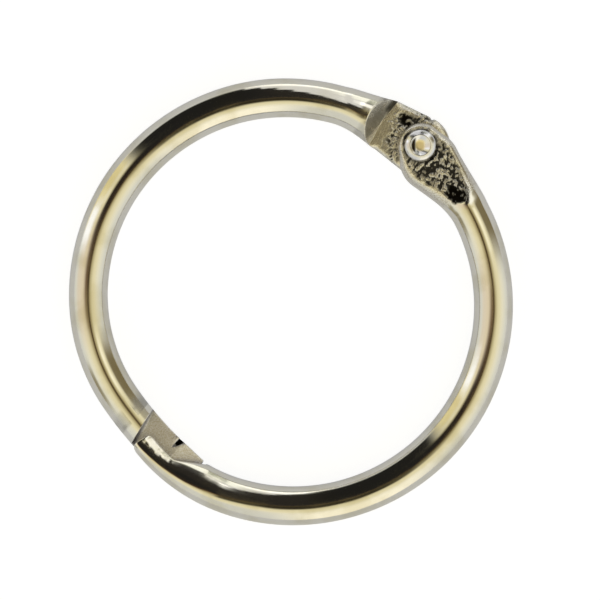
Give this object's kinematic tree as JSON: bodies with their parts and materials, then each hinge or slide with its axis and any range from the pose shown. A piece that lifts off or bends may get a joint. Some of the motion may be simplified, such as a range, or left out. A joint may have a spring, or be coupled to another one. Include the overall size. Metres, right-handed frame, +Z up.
{
  "type": "hinged binder ring",
  "caption": "Round steel binder ring that hinges open on a rivet and closes with one end lapped over the other, to hold punched sheets.",
  "frame": {"origin": "on the ground under the middle of the closed ring, which lies flat", "axes": "+Z up, along the ring's axis and the hinge rivet; +X towards the right half; the hinge is at +X +Y and the clasp at -X -Y"},
  "size_m": [0.0307, 0.0309, 0.0027],
  "materials": {
    "nickel_plate": "bright warm nickel plate on steel, rough where the hinge is pressed",
    "rivet_nickel": "nickel plated steel with a fine brushed cup"
  },
  "bodies": {
    "left_half": {"left_half_ring": "nickel_plate", "hinge_rivet": "rivet_nickel"},
    "right_half": {"right_half_ring": "nickel_plate"}
  },
  "joints": [
    {"name": "ring_hinge", "type": "hinge", "parent": "left_half", "child": "right_half", "pos_m": [0.00887, 0.01073, 0.00135], "axis": [0, 0, 1], "range_deg": [0, 130]}
  ]
}
